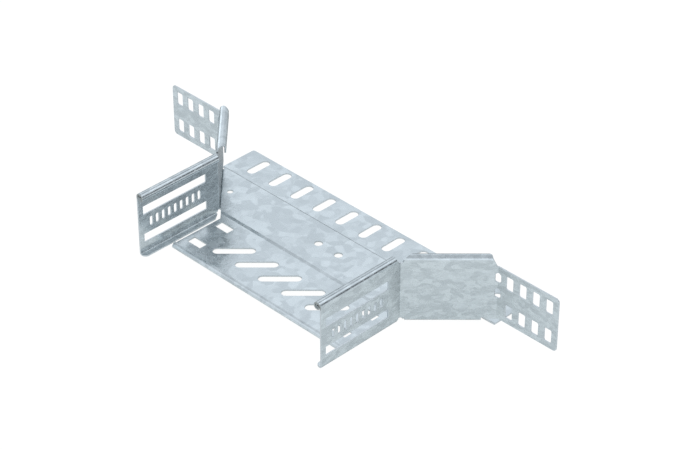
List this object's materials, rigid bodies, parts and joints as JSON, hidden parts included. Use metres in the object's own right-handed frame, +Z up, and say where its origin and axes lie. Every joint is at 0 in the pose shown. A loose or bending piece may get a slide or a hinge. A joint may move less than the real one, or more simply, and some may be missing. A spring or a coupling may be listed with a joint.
{
  "type": "cable tray tee",
  "caption": "Folded galvanised sheet tee that joins a branch to the side of a cable tray: slotted stepped floor, two side walls with 45 degree wings and bolt-on tabs.",
  "frame": {"origin": "middle of the tee, on the tray floor's seating level (underside of the rear slotted strip, Z = 0) and in the plane of the tab faces that seat on the tray's side wall (Y = 0)", "axes": "+X along the main tray, -Y out along the branch, +Z up"},
  "size_m": [0.408, 0.1627, 0.0608],
  "materials": {
    "galvanised_sheet": "satin galvanised, faint spangle"
  },
  "bodies": {
    "root": {"base_plate": "galvanised_sheet", "left_side_wall": "galvanised_sheet", "right_side_wall": "galvanised_sheet"}
  },
  "joints": []
}
